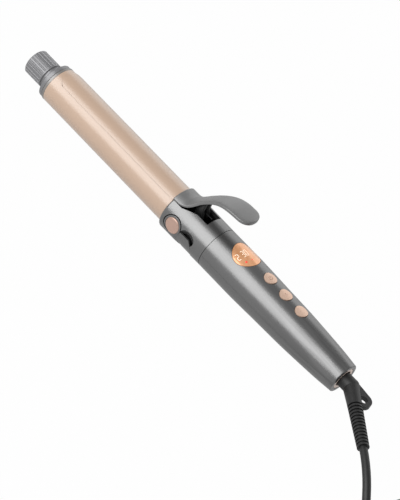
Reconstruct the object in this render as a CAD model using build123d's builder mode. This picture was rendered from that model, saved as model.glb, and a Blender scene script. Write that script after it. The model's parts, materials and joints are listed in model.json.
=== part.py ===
from build123d import *
from math import cos, pi, radians, sin, sqrt, tan
import os

# A curling iron: heated barrel with a spring clamp and thumb lever, a collar with a folding stand,
# a two-shell handle with a display and three buttons, and a mains lead on a swivel.
# Millimetres. +X runs from the cool tip to the lead, +Z is up. The origin is under the middle of
# the stand's flat foot, on the surface that the iron rests on.

# ---------------------------------------------------------------- driving dimensions
axis_height = 19.0            # barrel axis above the rest surface

barrel_radius = 15.9
barrel_wall = 1.0
barrel_length = 142.8         # from the silver ring to its seat inside the collar
barrel_seat_depth = 3.5       # how far the tube enters the collar
tip_length = 26.4
tip_grip_radius = 11.1
tip_grip_length = 18.2
tip_neck_radius = 10.1
tip_flange_radius = 15.4
tip_flange_length = 3.0
tip_wall = 1.6
tip_spigot_length = 9.0
flute_count = 24
flute_radius = 0.75
tip_ring_length = 2.4
tip_ring_gap = 0.4

clamp_wall = 0.7
clamp_gap = 0.15              # clamp shell above the closed barrel
clamp_half_angle = 42.4
clamp_tail_half_angle = 35.0
clamp_setback = 4.6           # clamp's front edge behind the barrel's front end
clamp_corner = 7.0
clamp_tail_length = 10.0

collar_front_x = -30.7
collar_length = 45.1
collar_front_radius = 18.6
seam_radius = 18.0
collar_bore = 13.6
collar_edge = 1.8             # rounding of the collar's front edge
seam_gap = 0.4

hinge_x = -9.3                # clamp hinge axis
hinge_height = 13.5           # above the barrel axis
hinge_pin_radius = 1.5
slot_half_width = 7.8
slot_rear_x = 2.3
saddle_half_angle = 38.0
saddle_skirt = 1.5            # degrees that the saddle's lower edge reaches past its outline
saddle_opening_half_angle = 41.5
saddle_length = 15.0
saddle_gap = 0.15
saddle_wall = 2.1

stand_pivot_x = -17.9
stand_head_radius = 8.0
stand_head_gap = 0.8
stand_gap = 0.45
stand_swing = 60.0            # degrees that the stand opens
stand_plate_radius = 17.8
stand_plate_wall = 1.4
stand_front_x = -4.3
stand_rear_x = 4.3
stand_top_height = 0.6        # upper edge of the stand's arms above the axis
stand_head_face = 15.2        # inner face of the stand's heads from the middle plane
stand_pin_radius = 3.0
stand_cap_radius = 6.6
stand_cap_face = 18.4
foot_width = 9.0
notch_mouth_radius = 7.1      # finger scoop behind each stand arm, at the collar's side
notch_mouth = (-2.3, 3.2)
notch_mouth_face = 18.8
notch_floor_radius = 6.3      # where the scoop runs out inside, lower down
notch_floor = (-2.8, -4.2)
notch_floor_face = 15.0

handle_length = 139.4
handle_wall = 2.0
handle_straight = 0.206       # share of the handle's length that keeps its full radius
tongue_length = 6.0
shell_split = 0.05            # half of the parting gap between the shells
display_place = 0.1735        # shares of the handle's length behind the seam
display_radius = 11.25
display_seat_radius = 9.6
lens_wall = 1.5
lens_gap = 0.35
button_first_place = 0.3593
button_pitch_share = 0.1227
button_radius = 5.2
button_gap = 0.35
button_proud = 0.6
button_flange_radius = 6.1
button_flange_wall = 1.2
button_foot_radius = 2.0
button_travel = 0.5
switch_size = 6.0
switch_height = 3.5

board_height = 5.4            # underside of the circuit board above the axis
board_wall = 1.6
board_front_place = 0.0694
board_rear_place = 0.7003
board_width = 21.0
board_post_inset = 4.0
board_post_y = 7.5
screw_seat_depth = 8.0        # seats of the shell screws' heads below the axis
screw_length = 15.5
screw_radius = 1.5
screw_head_radius = 2.8
screw_head_height = 1.8
boss_radius = 3.4
boss_overlap = 1.2            # how far the front bosses run into the front wall

end_ring_outer = 9.6
end_ring_inner = 7.1
end_ring_length = 3.2
neck_radius = 6.2
neck_flange_radius = 8.6
neck_flange_length = 2.0
bush_length = 7.6
bend_setback = 8.0            # where the lead's relief turns off the axis, behind the handle
relief_turn = 38.9            # degrees between the axis and the relief
relief_length = 56.0
relief_start = 17.0
relief_core_radius = 4.3
relief_rib_radius = 5.5
relief_last_rib_radius = 4.6
relief_end_radius = 3.8
rib_count = 13
rib_length = 1.5
loop_setback = 14.2           # hanging loop behind that bend
loop_y = -2.0
loop_radius = 6.6
loop_hole_radius = 3.25
loop_thickness = 4.0
slip_stub_radius = 3.6
slip_ring_radius = 5.0
slip_ring_length = 3.0

cord_diameter = 6.2
coil_pitch = 6.5
coil_turns_per_layer = 3.5
coil_outer_turn = 47.4        # radius of the outermost turn
coil_edge = 3.0
tie_wall = 0.8
tie_width = 12.0
plug_length = 34.0
plug_width = 22.0
plug_height = 14.0
blade_length = 16.0
blade_width = 6.35
blade_wall = 1.5
blade_spacing = 12.7

running_gap = 0.05
fit_gap = 0.1

# ---------------------------------------------------------------- stations along the axis
barrel_rear_x = collar_front_x + barrel_seat_depth
barrel_front_x = barrel_rear_x - barrel_length
tip_ring_x = barrel_front_x - tip_ring_length
tip_rear_x = tip_ring_x - tip_ring_gap
tip_front_x = tip_rear_x - tip_length
clamp_front_x = barrel_front_x + clamp_setback
clamp_rear_x = collar_front_x - 0.5
clamp_inner = barrel_radius + clamp_gap
clamp_outer = clamp_inner + clamp_wall
seam_x = collar_front_x + collar_length
handle_front_x = seam_x + seam_gap
handle_end_x = seam_x + handle_length
saddle_inner = clamp_outer + saddle_gap
saddle_outer = saddle_inner + saddle_wall
opening_rear_x = collar_front_x + 9.8    # behind it the collar's opening narrows to the slot
slot_front_x = hinge_x + 0.9
board_top = board_height + board_wall
display_x = seam_x + display_place * handle_length
button_first_x = seam_x + button_first_place * handle_length
button_pitch = button_pitch_share * handle_length
board_front_x = seam_x + board_front_place * handle_length
board_rear_x = seam_x + board_rear_place * handle_length
bend_x = handle_end_x + bend_setback
loop_x = bend_x + loop_setback

centre = Plane(origin=(0, 0, axis_height), x_dir=(1, 0, 0), z_dir=(0, -1, 0))
iron_axis = Axis((0, 0, axis_height), (1, 0, 0))
stand_axis = Axis((stand_pivot_x, 0, axis_height), (0, 1, 0))


def across(x):
    """Plane square to the iron's axis at x: local x is +Y and local y is +Z from the axis."""
    return Plane(origin=(x, 0, axis_height), x_dir=(0, 1, 0), z_dir=(1, 0, 0))


def level(height):
    """Horizontal plane at a height above the iron's axis."""
    return Plane(origin=(0, 0, axis_height + height), x_dir=(1, 0, 0), z_dir=(0, 0, 1))


def facing_side(distance):
    """Plane parallel to the middle plane, that far towards -Y: local x is +X and local y is +Z."""
    return Plane(origin=(0, -distance, axis_height), x_dir=(1, 0, 0), z_dir=(0, -1, 0))


os.makedirs("parts", exist_ok=True)
pieces = []


def finished(part, name):
    """Label a finished piece and write it to its own STEP file."""
    part.label = name
    export_step(part, f"parts/{name}.step")
    pieces.append(part)


# ---------------------------------------------------------------- barrel, tip and heater
with BuildPart() as barrel_tube:
    with BuildSketch(across(barrel_front_x)):
        Circle(barrel_radius)
        Circle(barrel_radius - barrel_wall, mode=Mode.SUBTRACT)
    extrude(amount=barrel_length)
finished(barrel_tube.part, "barrel_tube")

tube_bore = barrel_radius - barrel_wall
spigot_radius = tube_bore - fit_gap
grip_end_x = tip_front_x + tip_grip_length
flange_front_x = tip_rear_x - tip_flange_length

# The grip, its waist and the flange are one turned shape with a hollow spigot behind them.
with BuildPart() as cool_tip:
    with BuildSketch(centre):
        with BuildLine():
            Line((tip_front_x, 0), (tip_front_x, tip_grip_radius))
            Line((tip_front_x, tip_grip_radius), (grip_end_x, tip_grip_radius))
            Line((grip_end_x, tip_grip_radius), (grip_end_x + 0.8, tip_neck_radius))
            Line((grip_end_x + 0.8, tip_neck_radius), (grip_end_x + 1.8, tip_neck_radius))
            TangentArc(
                (grip_end_x + 1.8, tip_neck_radius), (flange_front_x, tip_flange_radius), tangent=(1, 0)
            )
            Line((flange_front_x, tip_flange_radius), (tip_rear_x, tip_flange_radius))
            Line((tip_rear_x, tip_flange_radius), (tip_rear_x, spigot_radius))
            Line((tip_rear_x, spigot_radius), (barrel_front_x + tip_spigot_length, spigot_radius))
            Line((barrel_front_x + tip_spigot_length, spigot_radius), (barrel_front_x + tip_spigot_length, 0))
            Line((barrel_front_x + tip_spigot_length, 0), (tip_front_x, 0))
        make_face()
    revolve(axis=iron_axis)
    chamfer(cool_tip.edges().filter_by(GeomType.CIRCLE).group_by(Axis.X)[0], 0.8)
    with BuildSketch(across(tip_front_x - 1)):
        with PolarLocations(tip_grip_radius + 0.2, flute_count):
            Circle(flute_radius)
    extrude(amount=tip_grip_length, mode=Mode.SUBTRACT)
    with BuildSketch(across(tip_rear_x - tip_wall)):
        Circle(spigot_radius - tip_wall)
    extrude(amount=tip_spigot_length + tip_length, mode=Mode.SUBTRACT)
    with BuildSketch(across(tip_front_x + 2 * tip_wall)):
        Circle(tip_neck_radius - 1.5 * tip_wall)
    extrude(amount=tip_length, mode=Mode.SUBTRACT)
finished(cool_tip.part, "cool_tip")

with BuildPart() as tip_ring:
    with BuildSketch(across(tip_ring_x)):
        Circle(barrel_radius)
        Circle(spigot_radius + running_gap, mode=Mode.SUBTRACT)
    extrude(amount=tip_ring_length)
    chamfer(tip_ring.edges().filter_by(GeomType.CIRCLE).sort_by(SortBy.RADIUS)[-2:], 0.25)
finished(tip_ring.part, "tip_ring")

frame_spigot_length = 14.0
heater_front_gap = 14.0       # clear of the tip's spigot
heater_rear_gap = 10.8        # clear of the frame's spigot
heater_front_x = barrel_front_x + heater_front_gap
heater_length = barrel_length - heater_front_gap - frame_spigot_length - heater_rear_gap
thermistor_place = 0.29       # shares of the heater's length
fuse_place = 0.60
element_wall = 4.0
element_width = 20.0
segment_floor = element_wall / 2 + 3.0

# Two half-round aluminium segments press the flat heating element's warmth into the tube.
for side, name in ((1, "heater_segment_top"), (-1, "heater_segment_bottom")):
    with BuildPart() as segment:
        with BuildSketch(across(heater_front_x)):
            Circle(spigot_radius)
            with Locations((0, -side * (spigot_radius - element_wall / 2 - fit_gap / 2))):
                Rectangle(2 * spigot_radius, 2 * spigot_radius, mode=Mode.SUBTRACT)
        extrude(amount=heater_length)
        with BuildSketch(across(heater_front_x)):
            Circle(spigot_radius - 2.0)
            with Locations((0, -side * (spigot_radius - segment_floor))):
                Rectangle(2 * spigot_radius, 2 * spigot_radius, mode=Mode.SUBTRACT)
        extrude(amount=heater_length, mode=Mode.SUBTRACT)
    finished(segment.part, name)

with BuildPart() as heating_element:
    with BuildSketch(across(heater_front_x - 2)):
        Rectangle(element_width, element_wall - fit_gap)
    extrude(amount=heater_length + 4)
finished(heating_element.part, "heating_element")

bead_radius = 1.2
with BuildPart() as thermistor:
    with BuildSketch(across(heater_front_x + thermistor_place * heater_length)):
        with Locations((0, segment_floor + bead_radius)):
            Circle(bead_radius)
    extrude(amount=7)
finished(thermistor.part, "thermistor")

fuse_radius = 1.9
with BuildPart() as thermal_fuse:
    with BuildSketch(across(heater_front_x + fuse_place * heater_length)):
        with Locations((0, segment_floor + fuse_radius)):
            Circle(fuse_radius)
    extrude(amount=10)
    chamfer(thermal_fuse.edges().filter_by(GeomType.CIRCLE), 0.4)
finished(thermal_fuse.part, "thermal_fuse")

# ---------------------------------------------------------------- inner frame and hinge
frame_radius = collar_bore - fit_gap
frame_top = 2.0
frame_rear_x = slot_rear_x + 5.0
frame_neck_x = collar_front_x + 9.0
wire_bore_radius = 4.0
wire_bore_height = -6.0
bracket_wall = 1.2
ear_inner = 5.0
bracket_front_x = hinge_x - 6.0
bracket_rear_x = slot_rear_x + 1.0
bracket_screw_xs = (bracket_front_x + 2.6, bracket_rear_x - 3.0)
bracket_screw_depth = 3.6
lug_half_width = ear_inner - 0.3
lug_slot_half_width = 1.9
lug_radius = 4.0

# A heat-proof moulding carries the tube on its spigot and the hinge bracket on its flat top.
with BuildPart() as inner_frame:
    with BuildSketch(across(barrel_rear_x - frame_spigot_length)):
        Circle(spigot_radius)
    extrude(amount=frame_spigot_length)
    with BuildSketch(across(barrel_rear_x)):
        Circle(frame_radius)
    extrude(amount=frame_rear_x - barrel_rear_x)
    with BuildSketch(across(frame_neck_x)):
        with Locations((0, frame_top + frame_radius)):
            Rectangle(2 * frame_radius + 2, 2 * frame_radius)
    extrude(amount=frame_rear_x - frame_neck_x + 1, mode=Mode.SUBTRACT)
    with BuildSketch(across(barrel_rear_x - frame_spigot_length - 1)):
        with Locations((0, wire_bore_height)):
            Circle(wire_bore_radius)
    extrude(amount=frame_spigot_length + collar_length, mode=Mode.SUBTRACT)
    with BuildSketch(level(frame_top)):
        with Locations(*[(x, 0) for x in bracket_screw_xs]):
            Circle(screw_radius + running_gap)
    extrude(amount=-bracket_screw_depth - running_gap, mode=Mode.SUBTRACT)
finished(inner_frame.part, "inner_frame")

with BuildPart() as hinge_bracket:
    with BuildSketch(level(frame_top)):
        with Locations(((bracket_front_x + bracket_rear_x) / 2, 0)):
            Rectangle(bracket_rear_x - bracket_front_x, 2 * (ear_inner + bracket_wall))
        with Locations(*[(x, 0) for x in bracket_screw_xs]):
            Circle(screw_radius + 0.2, mode=Mode.SUBTRACT)
    extrude(amount=bracket_wall)
    for side in (1, -1):
        with BuildSketch(facing_side(side * (ear_inner + bracket_wall / 2))):
            with BuildLine():
                Polyline(
                    (hinge_x - 4.5, frame_top),
                    (hinge_x + 4.5, frame_top),
                    (hinge_x + 2.9, hinge_height),
                    (hinge_x - 2.9, hinge_height),
                    close=True,
                )
            make_face()
            with Locations((hinge_x, hinge_height)):
                Circle(2.9)
        extrude(amount=bracket_wall / 2, both=True)
    with BuildSketch(facing_side(0)):
        with Locations((hinge_x, hinge_height)):
            Circle(hinge_pin_radius + running_gap)
    extrude(amount=ear_inner + 2 * bracket_wall, both=True, mode=Mode.SUBTRACT)
finished(hinge_bracket.part, "hinge_bracket")

with BuildPart() as bracket_screws:
    for x in bracket_screw_xs:
        with BuildSketch(level(frame_top + bracket_wall)):
            with Locations((x, 0)):
                Circle(screw_head_radius)
        extrude(amount=screw_head_height)
        with BuildSketch(level(frame_top + bracket_wall)):
            with Locations((x, 0)):
                Circle(screw_radius)
        extrude(amount=-bracket_screw_depth - bracket_wall + 0.2)
finished(bracket_screws.part, "bracket_screws")

pin_half_length = slot_half_width - 0.2
with BuildPart() as hinge_pin:
    with BuildSketch(facing_side(0)):
        with Locations((hinge_x, hinge_height)):
            Circle(hinge_pin_radius)
    extrude(amount=pin_half_length, both=True)
    chamfer(hinge_pin.edges().filter_by(GeomType.CIRCLE), 0.3)
finished(hinge_pin.part, "hinge_pin")

# Torsion spring on the pin, between the lever's two lugs: its lower leg bears on the bracket.
spring_wire = 0.7
spring_coil_radius = hinge_pin_radius + spring_wire / 2 + 0.15
spring_turns = 3.0
spring_pitch = 0.9
spring_leg = 8.6
spring_half = spring_turns * spring_pitch / 2
with BuildPart() as clamp_spring:
    with BuildLine() as spring_path:
        Helix(
            spring_pitch,
            spring_turns * spring_pitch,
            spring_coil_radius,
            center=(hinge_x, -spring_half, axis_height + hinge_height),
            direction=(0, 1, 0),
        )
    with BuildSketch(Plane(origin=spring_path.line @ 0, z_dir=spring_path.line % 0)):
        Circle(spring_wire / 2)
    sweep()
    for end, turn in ((0, -1), (1, 1)):
        along = spring_path.line % end
        with BuildSketch(Plane(origin=spring_path.line @ end, z_dir=(turn * along.X, 0, turn * along.Z))):
            Circle(spring_wire / 2)
        extrude(amount=spring_leg)
finished(clamp_spring.part, "clamp_spring")

# ---------------------------------------------------------------- clamp and thumb lever
clamp_tail_x = collar_front_x + clamp_tail_length
rivet_radius = 1.2
rivet_xs = (collar_front_x + 3.0, collar_front_x + 7.5)
rivet_foot = clamp_inner + running_gap
rivet_length = 2.0


def sector(radius, half_angle):
    """Corners of a wedge about the upward direction, wide enough to reach past that radius."""
    reach = 1.5 * radius
    return (
        (0, 0),
        (reach * sin(radians(half_angle)), reach * cos(radians(half_angle))),
        (0, 2.5 * radius),
        (-reach * sin(radians(half_angle)), reach * cos(radians(half_angle))),
    )


with BuildPart() as clamp_shell:
    with BuildSketch(across(clamp_front_x)):
        Polygon(*sector(clamp_outer, clamp_half_angle), align=None)
        Circle(clamp_outer, mode=Mode.INTERSECT)
        Circle(clamp_inner, mode=Mode.SUBTRACT)
    extrude(amount=clamp_rear_x - clamp_front_x)
    with BuildSketch(level(0)) as clamp_outline:
        with Locations((clamp_front_x + barrel_length / 2, 0)):
            Rectangle(barrel_length, 2 * clamp_outer * sin(radians(clamp_half_angle)))
        fillet(clamp_outline.vertices().group_by(Axis.X)[0], clamp_corner)
    extrude(amount=30, mode=Mode.INTERSECT)
    with BuildSketch(across(clamp_rear_x - 0.5)):
        Polygon(*sector(clamp_outer, clamp_tail_half_angle), align=None)
        Circle(clamp_outer, mode=Mode.INTERSECT)
        Circle(clamp_inner, mode=Mode.SUBTRACT)
    extrude(amount=clamp_tail_x - clamp_rear_x + 0.5)
    with BuildSketch(level(clamp_inner - 2)):
        with Locations(*[(x, 0) for x in rivet_xs]):
            Circle(rivet_radius + running_gap)
    extrude(amount=3, mode=Mode.SUBTRACT)
finished(clamp_shell.part, "clamp_shell")

# Top view of the lever: half-widths at stations from its front edge to its rounded rear end.
saddle_half_width = saddle_outer * sin(radians(saddle_half_angle))
waist_half_width = 7.8
paddle_half_width = 10.5
paddle_rear_x = 31.2
paddle_corner = 8.0
waist_front_x = hinge_x - 6.5
waist_rear_x = hinge_x + 7.0
paddle_front_x = hinge_x + 18.0
lever_top = ((-20.0, 19.0), (-13.5, 27.2), (-5.5, 35.7), (2.7, 41.4), (13.7, 45.0), (paddle_rear_x, 46.2))
lever_underside = ((-16.5, 16.6), (-8.3, 27.0), (-1.7, 34.3), (7.9, 40.0), (16.1, 42.3), (paddle_rear_x, 43.4))

with BuildPart() as clamp_lever:
    with BuildSketch(across(collar_front_x)):
        Polygon(*sector(saddle_outer, saddle_half_angle + saddle_skirt), align=None)
        Circle(saddle_outer, mode=Mode.INTERSECT)
        Circle(saddle_inner, mode=Mode.SUBTRACT)
    extrude(amount=saddle_length)
    with BuildSketch(centre):
        with BuildLine():
            Spline(*lever_top)
            Line(lever_top[-1], lever_underside[-1])
            Spline(*lever_underside)
            Line(lever_underside[0], lever_top[0])
        make_face()
    extrude(amount=paddle_half_width + 2, both=True)
    with BuildSketch(level(saddle_inner * cos(radians(saddle_half_angle + saddle_skirt)) - 1)) as lever_outline:
        with BuildLine():
            Polyline(
                (collar_front_x, 0),
                (collar_front_x, saddle_half_width),
                (waist_front_x - 6.5, saddle_half_width),
                (waist_front_x, waist_half_width),
                (waist_rear_x, waist_half_width),
                (paddle_front_x, paddle_half_width),
                (paddle_rear_x, paddle_half_width),
                (paddle_rear_x, 0),
            )
            mirror(about=Plane.XZ)
        make_face()
        fillet(lever_outline.vertices().group_by(Axis.X)[-1], paddle_corner)
        fillet(lever_outline.vertices().group_by(Axis.X)[1:-2], 5.0)
    extrude(amount=40, mode=Mode.INTERSECT)
    for side in (1, -1):
        with BuildSketch(facing_side(side * (lug_half_width + lug_slot_half_width) / 2)):
            Polygon(
                (hinge_x - lug_radius, hinge_height),
                (hinge_x - 7.4, 17.6),
                (hinge_x - 6.5, 19.8),
                (hinge_x - 1.0, 26.5),
                (hinge_x + 1.0, 28.6),
                (hinge_x + 1.4, hinge_height + 5.0),
                (hinge_x + lug_radius, hinge_height),
                align=None,
            )
            with Locations((hinge_x, hinge_height)):
                Circle(lug_radius)
        extrude(amount=(lug_half_width - lug_slot_half_width) / 2, both=True)
    with BuildSketch(facing_side(0)):
        with Locations((hinge_x, hinge_height)):
            Circle(hinge_pin_radius + running_gap)
    extrude(amount=2 * lug_half_width, both=True, mode=Mode.SUBTRACT)
    with BuildSketch(level(saddle_inner - 1)):
        with Locations(*[(x, 0) for x in rivet_xs]):
            Circle(rivet_radius + running_gap)
    extrude(amount=rivet_length + 0.25, mode=Mode.SUBTRACT)
finished(clamp_lever.part, "clamp_lever")

with BuildPart() as lever_rivets:
    with BuildSketch(level(rivet_foot)):
        with Locations(*[(x, 0) for x in rivet_xs]):
            Circle(rivet_radius)
    extrude(amount=rivet_length - (rivet_foot - saddle_inner + 1) + 0.2)
finished(lever_rivets.part, "lever_rivets")

# ---------------------------------------------------------------- folding stand
cap_seat_face = 16.5
pin_root = collar_bore + fit_gap
swing_floor_radius = stand_plate_radius - stand_plate_wall - stand_gap
swing_start_angle = 35.0
swing_margin = 13.0
arm_root = (stand_pivot_x + 6.3, -5.2)
arm_corner_height = -14.0


def stand_side_profile(grow):
    """Side view of one arm and the foot plate, grown outwards by a gap; call inside a sketch."""
    Polygon(
        (stand_pivot_x, stand_top_height + grow),
        (stand_rear_x - 4.5, stand_top_height + grow),
        (stand_rear_x - 1.3 + grow, stand_top_height - 3.8 + grow),
        (stand_rear_x + grow, stand_top_height - 7.2),
        (stand_rear_x + grow, -stand_plate_radius - 6),
        (stand_front_x - grow, -stand_plate_radius - 6),
        (stand_front_x - grow, arm_corner_height),
        (arm_root[0] - grow, arm_root[1] - grow),
        (stand_pivot_x, -3.0),
        align=None,
    )


# Each head is a disc with a flat inner face and an outer face that follows the collar.
with BuildPart() as stand_heads:
    for side in (1, -1):
        with BuildSketch(facing_side(side * stand_head_face)):
            with Locations((stand_pivot_x, 0)):
                Circle(stand_head_radius)
        extrude(amount=side * 6)
    with BuildSketch(across(collar_front_x)):
        Circle(stand_cap_face)
    extrude(amount=collar_length, mode=Mode.INTERSECT)

with BuildPart() as stand:
    with BuildSketch(facing_side(0)):
        stand_side_profile(0)
    extrude(amount=stand_plate_radius + 1, both=True)
    with BuildSketch(across(collar_front_x)):
        Circle(stand_plate_radius)
    extrude(amount=collar_length, mode=Mode.INTERSECT)
    with BuildSketch(across(collar_front_x)):
        Circle(stand_plate_radius - stand_plate_wall)
    extrude(amount=collar_length, mode=Mode.SUBTRACT)
    with BuildSketch(level(-stand_plate_radius + stand_plate_wall / 2)):
        with Locations(((stand_front_x + stand_rear_x) / 2, 0)):
            Rectangle(stand_rear_x - stand_front_x - 1.0, foot_width)
    extrude(amount=-(axis_height - stand_plate_radius + stand_plate_wall / 2))
    add(stand_heads.part)
    for side in (1, -1):
        with BuildSketch(facing_side(side * cap_seat_face)):
            with Locations((stand_pivot_x, 0)):
                Circle(stand_cap_radius + fit_gap)
        extrude(amount=side * 6, mode=Mode.SUBTRACT)
    with BuildSketch(facing_side(0)):
        with Locations((stand_pivot_x, 0)):
            Circle(stand_pin_radius + running_gap)
    extrude(amount=2 * seam_radius, both=True, mode=Mode.SUBTRACT)
finished(stand.part, "stand")

with BuildPart() as stand_caps:
    for side in (1, -1):
        with BuildSketch(facing_side(side * (cap_seat_face + running_gap))):
            with Locations((stand_pivot_x, 0)):
                Circle(stand_cap_radius)
        extrude(amount=side * (stand_cap_face - cap_seat_face))
    chamfer(stand_caps.edges().filter_by(GeomType.CIRCLE).group_by(Axis.Y)[0], 0.5)
    chamfer(stand_caps.edges().filter_by(GeomType.CIRCLE).group_by(Axis.Y)[-1], 0.5)
finished(stand_caps.part, "stand_caps")

with BuildPart() as stand_pins:
    for side in (1, -1):
        with BuildSketch(facing_side(side * pin_root)):
            with Locations((stand_pivot_x, 0)):
                Circle(stand_pin_radius)
        extrude(amount=side * (cap_seat_face - pin_root - fit_gap))
finished(stand_pins.part, "stand_pins")

# ---------------------------------------------------------------- collar
with BuildPart() as stand_room:
    with BuildSketch(facing_side(0)):
        stand_side_profile(stand_gap)
    extrude(amount=2 * seam_radius, both=True)
    with BuildSketch(across(collar_front_x - 5)):
        Circle(swing_floor_radius)
    extrude(amount=collar_length + 10, mode=Mode.SUBTRACT)


def swing_floor(x, height):
    """Reach from the stand's pins of a point on the arms' lower edge, and the pocket's floor there."""
    reach = Vector(x - stand_pivot_x, height).length
    return (reach, sqrt(swing_floor_radius**2 - height**2))


# The arms' lower edges turn down about the stand's pins, and the pocket gives them room.
arm_edge_shares = (0.0, 0.25, 0.5, 0.75, 1.0)
arm_edge = [
    (
        arm_root[0] + share * (stand_front_x - arm_root[0]),
        arm_root[1] + share * (arm_corner_height - arm_root[1]) - stand_gap,
    )
    for share in arm_edge_shares
]
swing_floors = [swing_floor(*point) for point in arm_edge]
swing_far = Vector(stand_rear_x - stand_pivot_x, -stand_plate_radius).length + stand_gap
swing_start = Plane(
    origin=(stand_pivot_x, 0, axis_height),
    x_dir=(cos(radians(swing_start_angle)), 0, -sin(radians(swing_start_angle))),
    z_dir=(sin(radians(swing_start_angle)), 0, cos(radians(swing_start_angle))),
)
with BuildPart() as swing_pocket:
    with BuildSketch(swing_start):
        with BuildLine():
            Polyline(
                (stand_head_radius, 2 * seam_radius),
                (stand_head_radius, swing_floors[0][1]),
                *swing_floors,
                swing_floor(stand_front_x, -swing_floor_radius),
                (swing_far, 0),
                (swing_far, 2 * seam_radius),
                (stand_head_radius, 2 * seam_radius),
            )
        make_face()
    revolve(axis=stand_axis, revolution_arc=stand_swing + swing_margin)
    mirror(about=Plane.XZ)

with BuildPart() as collar:
    with BuildSketch(centre):
        Polygon(
            (collar_front_x, 0),
            (collar_front_x, collar_front_radius),
            (seam_x, seam_radius),
            (seam_x, 0),
            align=None,
        )
    revolve(axis=iron_axis)
    fillet(collar.edges().filter_by(GeomType.CIRCLE).group_by(Axis.X)[0], collar_edge)
    with BuildSketch(across(collar_front_x)):
        Circle(barrel_radius + fit_gap)
    extrude(amount=barrel_seat_depth, mode=Mode.SUBTRACT)
    with BuildSketch(across(collar_front_x)):
        Circle(collar_bore)
    extrude(amount=collar_length, mode=Mode.SUBTRACT)
    with BuildSketch(across(collar_front_x - 1)):
        Polygon(*sector(collar_front_radius, saddle_opening_half_angle), align=None)
    extrude(amount=opening_rear_x - collar_front_x + 1, mode=Mode.SUBTRACT)
    with BuildSketch(level(3)) as slot_outline:
        with BuildLine():
            opening_half_width = collar_front_radius * sin(radians(saddle_opening_half_angle))
            Polyline(
                (opening_rear_x, 0),
                (opening_rear_x, opening_half_width),
                (slot_front_x, slot_half_width),
                (slot_rear_x, slot_half_width),
                (slot_rear_x, 0),
            )
            mirror(about=Plane.XZ)
        make_face()
    extrude(amount=30, mode=Mode.SUBTRACT)
    for side in (1, -1):
        with BuildSketch(facing_side(side * (stand_head_face - 0.2))):
            with Locations((stand_pivot_x, 0)):
                Circle(stand_head_radius + stand_head_gap)
        extrude(amount=side * 10, mode=Mode.SUBTRACT)
        with BuildSketch(facing_side(side * notch_mouth_face)):
            with Locations(notch_mouth):
                Circle(notch_mouth_radius)
        with BuildSketch(facing_side(side * notch_floor_face)):
            with Locations(notch_floor):
                Circle(notch_floor_radius)
        loft(mode=Mode.SUBTRACT)
        with BuildSketch(facing_side(side * collar_bore / 2)):
            with Locations(notch_floor):
                Circle(notch_floor_radius)
        extrude(amount=side * (notch_floor_face - collar_bore / 2), mode=Mode.SUBTRACT)
    with BuildSketch(facing_side(0)):
        with Locations((stand_pivot_x, 0)):
            Circle(stand_pin_radius + running_gap)
    extrude(amount=2 * seam_radius, both=True, mode=Mode.SUBTRACT)
    add(stand_room.part, mode=Mode.SUBTRACT)
    add(swing_pocket.part, mode=Mode.SUBTRACT)
finished(collar.part, "collar")

# ---------------------------------------------------------------- handle shells
# Distances behind the seam, as shares of the handle's length, with the radii there.
handle_shares = ((0.44, 17.2), (0.65, 16.4), (0.755, 15.6), (0.86, 14.7), (0.93, 13.9))
handle_shape = [(share * handle_length, radius) for share, radius in handle_shares]
straight_end_x = seam_x + handle_straight * handle_length
handle_end_radius = 12.9
handle_end_edge = 0.9
cavity_rear_x = handle_end_x - 7.2
front_wall = 2.0
shell_reach = seam_radius + 4


def handle_outline(inset, front, rear):
    """Half outline of the handle, drawn inwards by a wall; call inside a BuildLine on the middle plane."""
    waist = [(seam_x + distance, radius - inset) for distance, radius in handle_shape]
    Line((front, 0), (front, seam_radius - inset))
    Line((front, seam_radius - inset), (straight_end_x, seam_radius - inset))
    run_out = Vector(handle_end_x, handle_end_radius - inset) - Vector(*waist[-1])
    body = Spline(
        (straight_end_x, seam_radius - inset), *waist, tangents=((1, 0), run_out.normalized())
    )
    cut = body @ 1 + run_out * ((rear - waist[-1][0]) / run_out.X)
    Line(body @ 1, cut)
    Line(cut, (rear, 0))
    Line((rear, 0), (front, 0))


with BuildPart() as handle_body:
    with BuildSketch(centre):
        with BuildLine():
            handle_outline(0, handle_front_x, handle_end_x)
        make_face()
    revolve(axis=iron_axis)
    fillet(handle_body.edges().filter_by(GeomType.CIRCLE).sort_by(Axis.X)[-1], handle_end_edge)

with BuildPart() as handle_cavity:
    with BuildSketch(centre):
        with BuildLine():
            handle_outline(handle_wall, handle_front_x + front_wall, cavity_rear_x)
        make_face()
    revolve(axis=iron_axis)

front_screw_x = handle_front_x + front_wall + boss_radius - boss_overlap
front_screw_y = 9.6
rear_screw_x = board_rear_x + 7.5
screw_places = ((front_screw_x, front_screw_y), (front_screw_x, -front_screw_y), (rear_screw_x, 0))
tongue_radius = collar_bore - fit_gap
tongue_bore = tongue_radius - handle_wall

# The cavity with the screw bosses standing in it is what both shells are hollowed by.
with BuildPart() as shell_hollow:
    add(handle_cavity.part)
    with BuildSketch(level(-shell_reach)):
        with Locations(*screw_places):
            Circle(boss_radius)
    extrude(amount=2 * shell_reach, mode=Mode.SUBTRACT)

with BuildPart() as tongue:
    with BuildSketch(across(seam_x - tongue_length)):
        Circle(tongue_radius)
        Circle(tongue_bore, mode=Mode.SUBTRACT)
    extrude(amount=tongue_length + seam_gap + front_wall)

with BuildPart() as rear_bore:
    with BuildSketch(across(cavity_rear_x - 1)):
        Circle(end_ring_outer + fit_gap)
    extrude(amount=handle_end_x)

with BuildPart() as front_bore:
    with BuildSketch(across(seam_x - tongue_length)):
        Circle(tongue_bore)
    extrude(amount=tongue_length + seam_gap + front_wall + 0.5)

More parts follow.
